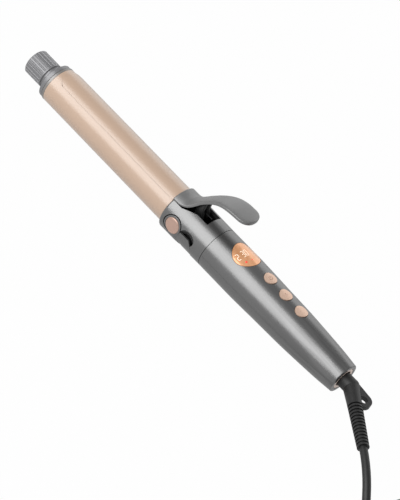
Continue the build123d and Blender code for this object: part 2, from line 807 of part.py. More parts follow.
board_posts_xs = (board_front_x + board_post_inset, board_rear_x - board_post_inset)
post_places = [(x, y) for x in board_posts_xs for y in (-board_post_y, board_post_y)]
post_radius = 2.5
post_screw_radius = 1.1
post_screw_length = 6.0
lens_seat = seam_radius - lens_wall - lens_gap
button_xs = [button_first_x + button_pitch * i for i in range(3)]

with BuildPart() as handle_top:
    add(handle_body.part)
    add(shell_hollow.part, mode=Mode.SUBTRACT)
    add(rear_bore.part, mode=Mode.SUBTRACT)
    add(front_bore.part, mode=Mode.SUBTRACT)
    add(tongue.part)
    with BuildSketch(level(shell_split)):
        with Locations((handle_front_x + handle_length / 2, 0)):
            Rectangle(2 * handle_length, 3 * seam_radius)
    extrude(amount=-2 * seam_radius, mode=Mode.SUBTRACT)
    with BuildSketch(level(shell_split)):
        with Locations((display_x, 0)):
            Circle(display_seat_radius)
    extrude(amount=shell_reach, mode=Mode.SUBTRACT)
    with BuildSketch(level(shell_split)):
        with Locations(*[(x, 0) for x in button_xs]):
            Circle(button_radius + button_gap)
    extrude(amount=shell_reach, mode=Mode.SUBTRACT)
    with BuildSketch(level(-1)):
        with Locations(*screw_places):
            Circle(screw_radius + running_gap)
    extrude(amount=screw_length - screw_seat_depth + 1.5, mode=Mode.SUBTRACT)

# The lens drops into a round counterbore whose floor follows the handle.
with BuildPart() as lens_pocket:
    with BuildSketch(level(5)):
        with Locations((display_x, 0)):
            Circle(display_radius + lens_gap)
    extrude(amount=shell_reach)
    with BuildSketch(across(display_x - 2 * display_radius)):
        Circle(lens_seat)
    extrude(amount=4 * display_radius, mode=Mode.SUBTRACT)

with BuildPart() as handle_top_shell:
    add(handle_top.part)
    add(lens_pocket.part, mode=Mode.SUBTRACT)
finished(handle_top_shell.part, "handle_top_shell")

with BuildPart() as posts:
    with BuildSketch(level(board_height - running_gap)):
        with Locations(*post_places):
            Circle(post_radius)
    extrude(amount=-shell_reach)
    add(handle_body.part, mode=Mode.INTERSECT)

with BuildPart() as handle_bottom_shell:
    add(handle_body.part)
    add(shell_hollow.part, mode=Mode.SUBTRACT)
    add(rear_bore.part, mode=Mode.SUBTRACT)
    add(front_bore.part, mode=Mode.SUBTRACT)
    add(tongue.part)
    with BuildSketch(level(-shell_split)):
        with Locations((handle_front_x + handle_length / 2, 0)):
            Rectangle(2 * handle_length, 3 * seam_radius)
    extrude(amount=2 * seam_radius, mode=Mode.SUBTRACT)
    add(posts.part)
    with BuildSketch(level(-shell_reach)):
        with Locations(*screw_places):
            Circle(screw_radius + running_gap)
    extrude(amount=shell_reach, mode=Mode.SUBTRACT)
    for x, y in screw_places:
        with BuildSketch(level(-shell_reach)):
            with Locations((x, y)):
                Circle(screw_head_radius + fit_gap)
        extrude(amount=shell_reach - screw_seat_depth, mode=Mode.SUBTRACT)
    with BuildSketch(level(board_height)):
        with Locations(*post_places):
            Circle(post_screw_radius + running_gap)
    extrude(amount=-post_screw_length - 0.2, mode=Mode.SUBTRACT)
finished(handle_bottom_shell.part, "handle_bottom_shell")

with BuildPart() as shell_screws:
    with BuildSketch(level(-screw_seat_depth)):
        with Locations(*screw_places):
            Circle(screw_head_radius)
    extrude(amount=-screw_head_height)
    with BuildSketch(level(-screw_seat_depth)):
        with Locations(*screw_places):
            Circle(screw_radius)
    extrude(amount=screw_length)
finished(shell_screws.part, "shell_screws")

with BuildPart() as display_lens:
    with BuildSketch(level(5)):
        with Locations((display_x, 0)):
            Circle(display_radius)
    extrude(amount=shell_reach)
    with BuildSketch(across(display_x - 2 * display_radius)):
        Circle(seam_radius)
    extrude(amount=4 * display_radius, mode=Mode.INTERSECT)
    with BuildSketch(across(display_x - 2 * display_radius)):
        Circle(lens_seat + running_gap)
    extrude(amount=4 * display_radius, mode=Mode.SUBTRACT)
finished(display_lens.part, "display_lens")

with BuildPart() as end_ring:
    with BuildSketch(across(handle_end_x - end_ring_length)):
        Circle(end_ring_outer)
        Circle(end_ring_inner, mode=Mode.SUBTRACT)
    extrude(amount=end_ring_length)
    fillet(end_ring.edges().filter_by(GeomType.CIRCLE).group_by(Axis.X)[-1], 0.7)
finished(end_ring.part, "end_ring")

# ---------------------------------------------------------------- electronics
with BuildPart() as circuit_board:
    with BuildSketch(level(board_height)):
        with Locations(((board_front_x + board_rear_x) / 2, 0)):
            Rectangle(board_rear_x - board_front_x, board_width)
        with Locations(*post_places):
            Circle(post_screw_radius + 0.2, mode=Mode.SUBTRACT)
    extrude(amount=board_wall)
finished(circuit_board.part, "circuit_board")

with BuildPart() as board_screws:
    with BuildSketch(level(board_top)):
        with Locations(*post_places):
            Circle(2.0)
    extrude(amount=1.3)
    with BuildSketch(level(board_top)):
        with Locations(*post_places):
            Circle(post_screw_radius)
    extrude(amount=-board_wall - post_screw_length + 0.4)
finished(board_screws.part, "board_screws")

module_length = 14.0
module_width = 15.0
module_height = 6.6
with BuildPart() as display_module:
    with BuildSketch(level(board_top)):
        with Locations((display_x, 0)):
            Rectangle(module_length, module_width)
    extrude(amount=module_height)
finished(display_module.part, "display_module")

with BuildPart() as button_switches:
    with BuildSketch(level(board_top)):
        with Locations(*[(x, 0) for x in button_xs]):
            Rectangle(switch_size, switch_size)
    extrude(amount=switch_height)
finished(button_switches.part, "button_switches")

# The triac stands against its heat sink, behind the controller and in front of the capacitor.
chip_size = 10.0
chip_thickness = 1.4
sink_thickness = 3.5
triac_thickness = 4.5
capacitor_length = 13.0
part_gap = 2.8
chip_x = (button_xs[0] + button_xs[1]) / 2 - 3.5
sink_x = chip_x + (chip_size + sink_thickness) / 2 + part_gap
triac_x = sink_x + (sink_thickness + triac_thickness) / 2
capacitor_x = triac_x + (triac_thickness + capacitor_length) / 2 + part_gap
with BuildPart() as controller_chip:
    with BuildSketch(level(board_height)):
        with Locations((chip_x, 0)):
            Rectangle(chip_size, chip_size)
    extrude(amount=-chip_thickness)
finished(controller_chip.part, "controller_chip")

with BuildPart() as film_capacitor:
    with BuildSketch(level(board_height)):
        with Locations((capacitor_x, 0)):
            Rectangle(capacitor_length, 9)
    extrude(amount=-11)
finished(film_capacitor.part, "film_capacitor")

with BuildPart() as triac:
    with BuildSketch(level(board_height)):
        with Locations((triac_x, 0)):
            Rectangle(triac_thickness, 10)
    extrude(amount=-9)
finished(triac.part, "triac")

with BuildPart() as heat_sink:
    with BuildSketch(level(board_height)):
        with Locations((sink_x, 0)):
            Rectangle(sink_thickness, 14)
    extrude(amount=-12)
finished(heat_sink.part, "heat_sink")

# ---------------------------------------------------------------- wires inside
wire_radius = 0.9
lead_y = 2.2
lead_end_x = board_front_x + 12
with BuildPart() as heater_leads:
    for side in (1, -1):
        with BuildLine() as lead_path:
            FilletPolyline(
                (heater_front_x + heater_length + 2, side * lead_y, axis_height),
                (barrel_rear_x - frame_spigot_length - 4.0, side * lead_y, axis_height),
                (barrel_rear_x - frame_spigot_length - 0.5, side * lead_y, axis_height + wire_bore_height),
                (lead_end_x, side * lead_y, axis_height + wire_bore_height),
                (lead_end_x, side * lead_y, axis_height + board_height),
                radius=1.6,
            )
        with BuildSketch(Plane(origin=lead_path.line @ 0, z_dir=lead_path.line % 0)):
            Circle(wire_radius)
        sweep(path=lead_path.line)
finished(heater_leads.part, "heater_leads")

# ---------------------------------------------------------------- swivel and strain relief
flange_x = handle_end_x - end_ring_length - bush_length - neck_flange_length + 3.6
bush_x = flange_x + neck_flange_length + fit_gap
stub_front_x = rear_screw_x + boss_radius + 6.0
slip_ring_xs = (stub_front_x + 4.5, stub_front_x + 9.5)
disc_x = stub_front_x - 1.0
disc_wall = 3.0
bend = Vector(bend_x, 0, axis_height)
relief_direction = Vector(cos(radians(relief_turn)), -sin(radians(relief_turn)), 0)
relief_plane = Plane(origin=bend, x_dir=(0, 0, 1), z_dir=relief_direction)

with BuildPart() as swivel_elbow:
    with BuildSketch(across(flange_x)):
        Circle(neck_flange_radius)
    extrude(amount=neck_flange_length)
    with BuildSketch(across(flange_x)):
        Circle(neck_radius)
    extrude(amount=bend_x - flange_x)
    with BuildSketch(across(stub_front_x)):
        Circle(slip_stub_radius)
    extrude(amount=flange_x - stub_front_x)
    with BuildSketch(relief_plane.offset(-1)):
        Circle(neck_radius)
    with BuildSketch(relief_plane.offset(relief_start)):
        Circle(relief_rib_radius)
    loft()
    with Locations(bend):
        Sphere(neck_radius + 0.1)
    with BuildSketch(level(-loop_thickness / 2)) as loop_outline:
        with Locations((loop_x, loop_y)):
            Circle(loop_radius)
        with Locations((bend_x, 0)):
            Circle(neck_radius)
        make_hull()
        with Locations((loop_x, loop_y)):
            Circle(loop_hole_radius, mode=Mode.SUBTRACT)
    extrude(amount=loop_thickness)
    with BuildSketch(level(-neck_radius - 1)):
        with Locations((loop_x, loop_y)):
            Circle(loop_hole_radius)
    extrude(amount=2 * neck_radius + 2, mode=Mode.SUBTRACT)
    with BuildSketch(relief_plane.offset(relief_start)):
        Circle(relief_rib_radius + fit_gap)
    extrude(amount=loop_radius, mode=Mode.SUBTRACT)
finished(swivel_elbow.part, "swivel_elbow")

rib_pitch = (relief_length - relief_start - rib_length) / rib_count
with BuildPart() as strain_relief:
    with BuildSketch(relief_plane.offset(relief_start)):
        Circle(relief_core_radius)
    with BuildSketch(relief_plane.offset(relief_length)):
        Circle(relief_end_radius)
    loft()
    for i in range(rib_count + 1):
        taper = (relief_rib_radius - relief_last_rib_radius) * i / rib_count
        with BuildSketch(relief_plane.offset(relief_start + i * rib_pitch)):
            Circle(relief_rib_radius - taper)
        extrude(amount=rib_length)
finished(strain_relief.part, "strain_relief")

with BuildPart() as swivel_bush:
    with BuildSketch(across(bush_x)):
        Circle(end_ring_outer)
        Circle(neck_radius + running_gap, mode=Mode.SUBTRACT)
    extrude(amount=handle_end_x - end_ring_length - fit_gap - bush_x)
finished(swivel_bush.part, "swivel_bush")

with BuildPart() as slip_rings:
    for x in slip_ring_xs:
        with BuildSketch(across(x)):
            Circle(slip_ring_radius)
            Circle(slip_stub_radius + 0.02, mode=Mode.SUBTRACT)
        extrude(amount=slip_ring_length)
finished(slip_rings.part, "slip_rings")

with BuildPart() as contact_holder:
    with BuildSketch(across(disc_x)):
        Circle(12.0)
        Circle(slip_stub_radius + 0.6, mode=Mode.SUBTRACT)
    extrude(amount=-disc_wall)
finished(contact_holder.part, "contact_holder")

contact_wall = 0.4
contact_width = 3.0
with BuildPart() as contact_blades:
    for x, side in zip(slip_ring_xs, (1, -1)):
        height = side * (slip_ring_radius + running_gap + contact_wall / 2)
        reach = x + slip_ring_length - disc_x
        with BuildSketch(across(disc_x)):
            with Locations((0, height)):
                Rectangle(contact_width, contact_wall)
        extrude(amount=reach)
finished(contact_blades.part, "contact_blades")

mains_y = 5.0
mains_front_x = board_rear_x - wire_radius
with BuildPart() as mains_leads:
    for side in (1, -1):
        with BuildLine() as mains_path:
            FilletPolyline(
                (disc_x - disc_wall, side * mains_y, axis_height),
                (mains_front_x, side * mains_y, axis_height),
                (mains_front_x, side * mains_y, axis_height + board_height),
                radius=2.0,
            )
        with BuildSketch(Plane(origin=mains_path.line @ 0, z_dir=mains_path.line % 0)):
            Circle(wire_radius)
        sweep(path=mains_path.line)
finished(mains_leads.part, "mains_leads")

# ---------------------------------------------------------------- buttons
def surface_radius(x):
    """Radius of the handle's outside at x, straight at first and then along its taper."""
    stations = [(straight_end_x, seam_radius)] + [(seam_x + d, r) for d, r in handle_shape]
    for (x0, r0), (x1, r1) in zip(stations, stations[1:]):
        if x <= x1:
            return r0 + (r1 - r0) * max(0.0, (x - x0) / (x1 - x0))
    return stations[-1][1]


button_foot = board_top + switch_height + button_travel + fit_gap
for x, name in zip(button_xs, ("power_button", "heat_up_button", "heat_down_button")):
    shell_inside = surface_radius(x + button_flange_radius) - handle_wall
    flange_top = sqrt(shell_inside**2 - button_flange_radius**2) - running_gap
    with BuildPart() as button:
        with BuildSketch(level(flange_top - button_flange_wall)):
            with Locations((x, 0)):
                Circle(button_radius)
        extrude(amount=seam_radius)
        with BuildSketch(across(x - button_radius)):
            Circle(surface_radius(x) + button_proud)
        extrude(amount=2 * button_radius, mode=Mode.INTERSECT)
        with BuildSketch(level(flange_top)):
            with Locations((x, 0)):
                Circle(button_flange_radius)
        extrude(amount=-button_flange_wall)
        with BuildSketch(level(button_foot)):
            with Locations((x, 0)):
                Circle(button_foot_radius)
        extrude(amount=flange_top - button_foot)
    finished(button.part, name)

# ---------------------------------------------------------------- mains lead, coil, tie and plug
lead_start = bend + relief_direction * relief_length
lead_bend = lead_start + relief_direction * 20.0


def past_relief(dx, dy, height):
    """Point of the lead's route: a way along and across from the relief's end, at its own height."""
    return (lead_start.X + dx, lead_start.Y + dy, height)


# The route is a list of chosen points: out of the relief, down to the surface and into the coil.
layer_heights = (tie_wall + cord_diameter / 2, tie_wall + cord_diameter / 2 + coil_pitch)
lead_route = (
    past_relief(0, 0, axis_height),
    (lead_bend.X, lead_bend.Y, axis_height),
    past_relief(39.7, -32.1, 3.5),
    past_relief(60.7, -49.1, layer_heights[0]),
)
tail_route = (
    past_relief(60.7, -49.1, layer_heights[1]),
    past_relief(78.4, -61.0, 10.2),
    past_relief(101.2, -66.7, 8.8),
    past_relief(124.1, -63.7, 7.6),
    past_relief(145.3, -49.0, 7.0),
    past_relief(154.4, -26.8, 7.0),
)
coil_entry = Vector(*lead_route[-1])
coil_centre_x = coil_entry.X - relief_direction.Y * coil_outer_turn
coil_centre_y = coil_entry.Y + relief_direction.X * coil_outer_turn


def corner_radii(route):
    """As large an arc at each corner as its two runs allow: 0.45 of the shorter over tan(half turn)."""
    points = [Vector(*p) for p in route]
    radii = []
    for before, here, after in zip(points, points[1:], points[2:]):
        turn = (here - before).get_angle(after - here)
        shorter = min((here - before).length, (after - here).length)
        radii.append(0.45 * shorter / tan(radians(turn / 2)))
    return radii


coil_inner = coil_outer_turn - coil_turns_per_layer * coil_pitch - cord_diameter / 2
coil_outer = coil_outer_turn + cord_diameter / 2
coil_height = cord_diameter + coil_pitch
with BuildPart() as lead_coil:
    with BuildSketch(Plane.XY.offset(tie_wall)):
        with Locations((coil_centre_x, coil_centre_y)):
            Circle(coil_outer)
            Circle(coil_inner, mode=Mode.SUBTRACT)
    extrude(amount=coil_height)
    fillet(lead_coil.edges().filter_by(GeomType.CIRCLE), coil_edge)
finished(lead_coil.part, "lead_coil")

for route, name in ((lead_route, "lead_cord"), (tail_route, "lead_tail")):
    with BuildPart() as cord:
        with BuildLine() as cord_path:
            FilletPolyline(*route, radius=corner_radii(route))
        with BuildSketch(Plane(origin=cord_path.line @ 0, z_dir=cord_path.line % 0)):
            Circle(cord_diameter / 2)
        sweep(path=cord_path.line)
    section = pi * (cord_diameter / 2) ** 2
    run = sum(edge.length for edge in cord_path.line.edges())
    print(name, "corner radii", [round(r, 1) for r in corner_radii(route)])
    print(name, "length", round(run, 1), "volume over section times length", cord.part.volume / (section * run))
    finished(cord.part, name)

tie_angle = 55.0
tie_inner = sqrt(coil_inner**2 - (tie_width / 2) ** 2) - fit_gap
tie_middle = (tie_inner + coil_outer + fit_gap) / 2
tie_span = coil_outer + fit_gap - tie_inner
tie_direction = Vector(cos(radians(tie_angle)), sin(radians(tie_angle)), 0)
tie_centre = Vector(coil_centre_x, coil_centre_y, tie_wall + coil_height / 2) + tie_direction * tie_middle
tie_plane = Plane(origin=tie_centre, x_dir=tie_direction, z_dir=(-tie_direction.Y, tie_direction.X, 0))
with BuildPart() as cord_tie:
    with BuildSketch(tie_plane):
        RectangleRounded(tie_span + 2 * tie_wall, coil_height + 2 * tie_wall, 1.5)
        RectangleRounded(tie_span, coil_height, 0.7, mode=Mode.SUBTRACT)
    extrude(amount=tie_width / 2, both=True)
finished(cord_tie.part, "cord_tie")

plug_start = Vector(*tail_route[-1])
plug_direction = (plug_start - Vector(*tail_route[-2])).normalized()
plug_direction = Vector(plug_direction.X, plug_direction.Y, 0).normalized()
plug_plane = Plane(origin=plug_start, x_dir=(plug_direction.Y, -plug_direction.X, 0), z_dir=plug_direction)
plug_neck = 12.0
with BuildPart() as plug_body:
    with BuildSketch(plug_plane):
        Circle(cord_diameter / 2 + 1.0)
    with BuildSketch(plug_plane.offset(plug_neck)):
        RectangleRounded(plug_width - 5, plug_height - 3, 4)
    loft()
    with BuildSketch(plug_plane.offset(plug_neck)):
        RectangleRounded(plug_width - 5, plug_height - 3, 4)
    with BuildSketch(plug_plane.offset(plug_neck + 5)):
        RectangleRounded(plug_width, plug_height, 5)
    loft()
    with BuildSketch(plug_plane.offset(plug_neck + 5)):
        RectangleRounded(plug_width, plug_height, 5)
    extrude(amount=plug_length - plug_neck - 5)
    with BuildSketch(plug_plane.offset(plug_length)):
        with GridLocations(blade_spacing, 0, 2, 1):
            Rectangle(blade_wall + fit_gap, blade_width + fit_gap)
    extrude(amount=-6, mode=Mode.SUBTRACT)
finished(plug_body.part, "plug_body")

with BuildPart() as plug_blades:
    with BuildSketch(plug_plane.offset(plug_length - 5.9)):
        with GridLocations(blade_spacing, 0, 2, 1):
            Rectangle(blade_wall, blade_width)
    extrude(amount=blade_length + 5.9)
finished(plug_blades.part, "plug_blades")
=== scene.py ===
import json
import math

import bpy
import numpy as np
from mathutils import Matrix, Vector


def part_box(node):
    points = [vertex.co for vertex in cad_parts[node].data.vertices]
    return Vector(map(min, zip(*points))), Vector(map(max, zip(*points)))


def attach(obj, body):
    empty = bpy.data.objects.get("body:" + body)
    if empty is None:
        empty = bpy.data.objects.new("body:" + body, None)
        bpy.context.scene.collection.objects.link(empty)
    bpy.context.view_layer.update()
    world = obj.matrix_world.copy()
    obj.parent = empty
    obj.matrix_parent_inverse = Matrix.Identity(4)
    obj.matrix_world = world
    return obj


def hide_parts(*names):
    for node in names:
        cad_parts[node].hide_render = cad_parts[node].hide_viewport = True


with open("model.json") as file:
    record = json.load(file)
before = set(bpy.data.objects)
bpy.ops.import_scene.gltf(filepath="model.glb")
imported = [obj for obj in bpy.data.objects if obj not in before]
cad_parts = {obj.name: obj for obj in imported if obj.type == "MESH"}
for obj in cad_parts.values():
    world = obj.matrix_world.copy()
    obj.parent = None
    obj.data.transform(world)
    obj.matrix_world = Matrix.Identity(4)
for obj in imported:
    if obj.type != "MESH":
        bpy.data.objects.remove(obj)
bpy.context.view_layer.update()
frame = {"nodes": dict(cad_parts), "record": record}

# Looks of the curling iron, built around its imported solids. +X runs from the cool tip to the lead
# and +Z is up. Sizes are written in millimetres and turned to metres by MM.
MM = 0.001
AXIS_HEIGHT = 19.0            # barrel axis above the surface that the iron rests on
HANDLE_RADIUS = 18.0          # where the display is let in
HINGE_X = -9.3                # clamp hinge along the axis
HINGE_HEIGHT = 13.5           # and above it


# ---------------------------------------------------------------- camera
CAMERA_PLACE = np.array([486.35, -1051.69, 985.44])
CAMERA_TARGET = np.array([6.7, 0.0, AXIS_HEIGHT])
CAMERA_DIP = 0.007            # how far the view turns below its target, for one unit forward
CAMERA_ROLL = 46.03           # degrees
CAMERA_LENS = 145.02
CAMERA_SHIFT = (0.0011, 0.0010)


def level_axes(forward):
    """Unit forward, the part of +X square to it, and the upward axis that completes them."""
    forward = forward / np.linalg.norm(forward)
    right = np.array([1.0, 0.0, 0.0]) - forward[0] * forward
    right = right / np.linalg.norm(right)
    return forward, right, np.cross(right, forward)


def make_camera():
    """A long lens, up and to the front of the iron, rolled so that the iron lies across the frame."""
    forward, right, up = level_axes(CAMERA_TARGET - CAMERA_PLACE)
    forward, right, up = level_axes(forward - CAMERA_DIP * up)
    roll = math.radians(CAMERA_ROLL)
    rolled_right = math.cos(roll) * right + math.sin(roll) * up
    rolled_up = -math.sin(roll) * right + math.cos(roll) * up
    data = bpy.data.cameras.new("camera")
    data.lens = CAMERA_LENS
    data.shift_x, data.shift_y = CAMERA_SHIFT
    data.clip_start = 0.05
    data.clip_end = 50
    camera = bpy.data.objects.new("camera", data)
    bpy.context.scene.collection.objects.link(camera)
    turn = Matrix([rolled_right, rolled_up, -forward]).transposed().to_4x4()
    camera.matrix_world = Matrix.Translation(Vector(CAMERA_PLACE * MM)) @ turn
    bpy.context.scene.camera = camera


make_camera()

# ---------------------------------------------------------------- mains lead
CORD_DIAMETER = 6.2
BEND = np.array([161.8, 0.0, AXIS_HEIGHT])      # where the strain relief turns off the axis
RELIEF_TURN = math.radians(38.9)
RELIEF_DIRECTION = np.array([math.cos(RELIEF_TURN), -math.sin(RELIEF_TURN), 0.0])
RELIEF_END = 56.0             # from the bend
STRAIGHT_RUN = 20.0           # cord that goes straight on from the relief
LANDING = (245.1, -67.3, 3.5)
COIL_CENTRE = np.array([295.9, -47.4])
COIL_ENTRY = math.radians(-128.9)
COIL_OUTER = 47.4
COIL_INNER = 24.65
COIL_TURNS = 7
CLIMB_START = 3.25            # turns to the climb from the bottom layer to the top one
CLIMB_END = 3.75
BOTTOM_LAYER = 3.9
LAYER_RISE = 6.5
STEPS_PER_TURN = 24
PLUG_RUN = [
    (283.8, -96.2, 10.2),
    (306.6, -101.9, 8.8),
    (329.5, -98.9, 7.6),
    (350.7, -84.2, 7.0),
    (359.8, -62.0, 7.0),
]


def coil_points():
    """Flat spiral of seven turns: inwards along the bottom layer, up at the inside, outwards on top.

    The angle grows evenly. The radius falls evenly from outer to inner up to the climb, stays, and
    grows back after it. The height rises over the climb by the share 3t^2 - 2t^3.
    """
    turn = np.linspace(0, COIL_TURNS, COIL_TURNS * STEPS_PER_TURN + 1)
    angle = COIL_ENTRY + 2 * math.pi * turn
    inward = np.interp(turn, [0, CLIMB_START, CLIMB_END, COIL_TURNS], [0, 1, 1, 0])
    radius = COIL_OUTER - (COIL_OUTER - COIL_INNER) * inward
    climb = np.clip((turn - CLIMB_START) / (CLIMB_END - CLIMB_START), 0, 1)
    height = BOTTOM_LAYER + LAYER_RISE * climb * climb * (3 - 2 * climb)
    return np.stack(
        [COIL_CENTRE[0] + radius * np.cos(angle), COIL_CENTRE[1] + radius * np.sin(angle), height], 1
    )


def make_lead():
    """The mains lead: out of the relief, down to the surface, round the coil and on to the plug.

    One smooth quadratic curve near all the points, with the cord's radius given at each of them.
    """
    start = BEND + RELIEF_END * RELIEF_DIRECTION
    lead = [start, start + STRAIGHT_RUN * RELIEF_DIRECTION, LANDING]
    route = np.vstack([lead, coil_points(), PLUG_RUN]) * MM
    curve = bpy.data.curves.new("mains_lead", "CURVE")
    curve.dimensions = "3D"
    curve.bevel_depth = 1.0
    curve.bevel_resolution = 6
    curve.use_fill_caps = True
    spline = curve.splines.new("NURBS")
    spline.points.add(len(route) - 1)
    spline.points.foreach_set("co", np.column_stack([route, np.ones(len(route))]).ravel())
    spline.points.foreach_set("radius", np.full(len(route), CORD_DIAMETER / 2 * MM))
    spline.order_u = 3
    spline.use_endpoint_u = True
    spline.resolution_u = 6
    lead_object = bpy.data.objects.new("mains_lead", curve)
    bpy.context.scene.collection.objects.link(lead_object)
    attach(lead_object, "cord")
    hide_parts("lead_cord", "lead_coil", "lead_tail")
    return lead_object


mains_lead = make_lead()


# ---------------------------------------------------------------- materials
NOISE_LOW = 0.3               # noise values that give the one end of a mix and the other
NOISE_HIGH = 0.7
SHEEN_SIZE = 38               # size of the slow change of roughness
SHEEN_CHANGE = 0.08           # its share of the roughness
COAT_ROUGHNESS = 0.12
# Painted shade in the collar: plain black on the walls of its slot and scoops, where shade falls.
SHADE_RADIUS = 15.6           # the collar's walls are painted black as shade below this radius
SHADE_EDGE = 0.3              # half of the soft edge there
PAINTED_SHADE_BLACK = "#151515"
# Painted reflection on the handle: darker lengthwise streaks in the tone that stand in for its
# streaked highlight.
STREAKS_START = 55            # along the handle: where its streaks begin to grow
STREAKS_FULL = 130
STREAK_FRONT_SHARE = 0.12     # of their full depth, before they grow
STREAK_DEPTH = 0.30           # most that a streak takes of its own grey
STREAK_GREY = "#525252"
STREAK_WIDTH = 2.6
STREAK_SCALE = (0.012, 1, 1)  # draws the noise out along X
STREAK_CORE = 0.42            # noise value of a full streak
STREAK_RIM = 0.6              # and of none
# Painted shade on the clamp: brown on its edges, for the dark line where it meets the barrel.
EDGE_SHADE_BROWN = "#2E221B"
EDGE_FACING = 0.55            # size of normal . outward direction on a full edge
WALL_FACING = 0.85            # and on a plain wall
RIM_WIDTH = 0.5


def colour(code):
    """Linear colour from an sRGB hex code."""
    values = [int(code[i : i + 2], 16) / 255 for i in (1, 3, 5)]
    return [v / 12.92 if v <= 0.04045 else ((v + 0.055) / 1.055) ** 2.4 for v in values] + [1.0]


def per_mm(size):
    """Texture scale whose pattern repeats about every so many millimetres."""
    return 1 / (size * MM)


def add_node(tree, kind, values=None, **settings):
    """One shader node with its settings, and its sockets set to values or linked to other sockets."""
    node = tree.nodes.new(kind)
    for name, value in settings.items():
        setattr(node, name, value)
    for name, value in (values or {}).items():
        if isinstance(value, bpy.types.NodeSocket):
            tree.links.new(value, node.inputs[name])
        else:
            node.inputs[name].default_value = value
    return node


def finish_of(
    name, light, dark, metallic, rough, grain, relief, stretch=(1, 1, 1), coat=0.0, **more
):
    """A finish with a fine grain and a slow change of sheen.

    Noise of the grain's size in mm mixes the dark and the light tone and lifts the surface by the
    relief in mm. Slower noise moves the roughness up and down by a share of itself.
    """
    material = bpy.data.materials.new(name)
    material.use_nodes = True
    tree = material.node_tree
    tree.nodes.clear()
    place = add_node(tree, "ShaderNodeTexCoord")
    spread = add_node(
        tree, "ShaderNodeMapping", {"Vector": place.outputs["Object"], "Scale": stretch}
    )
    fine = add_node(
        tree,
        "ShaderNodeTexNoise",
        {"Vector": spread.outputs["Vector"], "Scale": per_mm(grain), "Detail": 3.0, "Roughness": 0.6},
    )
    slow = add_node(
        tree,
        "ShaderNodeTexNoise",
        {
            "Vector": place.outputs["Object"],
            "Scale": per_mm(SHEEN_SIZE),
            "Detail": 2.0,
            "Roughness": 0.5,
        },
    )
    blend = add_node(
        tree,
        "ShaderNodeMapRange",
        {"Value": fine.outputs["Fac"], "From Min": NOISE_LOW, "From Max": NOISE_HIGH},
    )
    tone = add_node(
        tree,
        "ShaderNodeMixRGB",
        {"Fac": blend.outputs["Result"], "Color1": colour(dark), "Color2": colour(light)},
    )
    roughness = add_node(
        tree,
        "ShaderNodeMapRange",
        {
            "Value": slow.outputs["Fac"],
            "From Min": NOISE_LOW,
            "From Max": NOISE_HIGH,
            "To Min": rough * (1 - SHEEN_CHANGE),
            "To Max": rough * (1 + SHEEN_CHANGE),
        },
    )
    bump = add_node(
        tree,
        "ShaderNodeBump",
        {"Height": fine.outputs["Fac"], "Distance": relief * MM, "Strength": 1.0},
    )
    shader = add_node(
        tree,
        "ShaderNodeBsdfPrincipled",
        {
            "Base Color": tone.outputs["Color"],
            "Roughness": roughness.outputs["Result"],
            "Metallic": metallic,
            "Coat Weight": coat,
            "Coat Roughness": COAT_ROUGHNESS,
            "Normal": bump.outputs["Normal"],
            **more,
        },
    )
    add_node(tree, "ShaderNodeOutputMaterial", {"Surface": shader.outputs["BSDF"]})
    return material


def glow_of(name, code, strength):
    """A lit mark: plain emission under a trace of gloss."""
    material = bpy.data.materials.new(name)
    material.use_nodes = True
    tree = material.node_tree
    tree.nodes.clear()
    shader = add_node(
        tree,
        "ShaderNodeBsdfPrincipled",
        {
            "Base Color": colour(code),
            "Roughness": 0.4,
            "Emission Color": colour(code),
            "Emission Strength": strength,
        },
    )
    add_node(tree, "ShaderNodeOutputMaterial", {"Surface": shader.outputs["BSDF"]})
    return material


# Each finish: light tone, dark tone, metallic, roughness, grain and relief in mm. Real flake and
# spray grain are under 0.1 mm and wouldn't show, so they are drawn as coarse as they need to be.
#
# Ceramic coating sprayed on the aluminium tube and baked: a soft white sheen over pale champagne.
champagne = finish_of(
    "champagne_ceramic_coating",
    "#BCA18B",
    "#B49882",
    0.0,
    0.36,
    0.25,
    0.004,
    coat=0.8,
    **{"Coat Roughness": 0.30, "Specular IOR Level": 0.9},
)
# ABS with metal flake, moulded smooth: a broad metallic highlight that falls off to dark grey.
grey_flake = finish_of("grey_flake_plastic", "#7D7D7D", "#717171", 0.85, 0.31, 0.18, 0.003)
# The same plastic from the lever's rougher mould: flatter and more even.
lever_flake = finish_of("lever_flake_plastic", "#828282", "#767676", 0.5, 0.40, 0.18, 0.003)
# The heat-proof batch of it in the cool tip: even, faintly bluish.
tip_flake = finish_of("tip_flake_plastic", "#848486", "#7A7A7C", 0.4, 0.40, 0.18, 0.001)
# Turned and clear-coated aluminium: a pale satin ring.
silver = finish_of("turned_aluminium_trim", "#908E8C", "#868482", 0.6, 0.45, 0.3, 0.002)
# Moulded caps metallised in a vacuum and lacquered satin: soft pink gold.
rose_gold = finish_of("rose_gold_metallised", "#E2C3AE", "#D0B09C", 0.5, 0.42, 0.2, 0.002)
# The same on the stand's caps, brushed first: a shade deeper.
rose_cap = finish_of("rose_gold_brushed", "#C6A799", "#B49587", 0.5, 0.44, 0.2, 0.003)
# The same on the ring at the handle's rear, paler and brighter.
pale_rose = finish_of("rose_gold_trim", "#F0DCD0", "#E4CFC2", 0.5, 0.32, 0.2, 0.002)
# Acrylic tinted and half-mirrored from behind: glossy amber.
amber = finish_of("amber_window", "#EDB083", "#E3A273", 0.35, 0.22, 2.5, 0.0, coat=0.6)
# Soft PVC moulded over the lead: matt black.
rubber = finish_of("black_pvc", "#1B1B1B", "#141414", 0.0, 0.5, 0.4, 0.01)
# Glass-filled nylon, moulded: dull black.
black_nylon = finish_of("black_nylon", "#1A1A1A", "#121212", 0.0, 0.6, 0.3, 0.01)
# Steel pressings, pins and screws, zinc-plated: bright and slightly warm.
plated_steel = finish_of("plated_steel", "#C4C2BE", "#AEACA8", 1.0, 0.32, 0.5, 0.003)
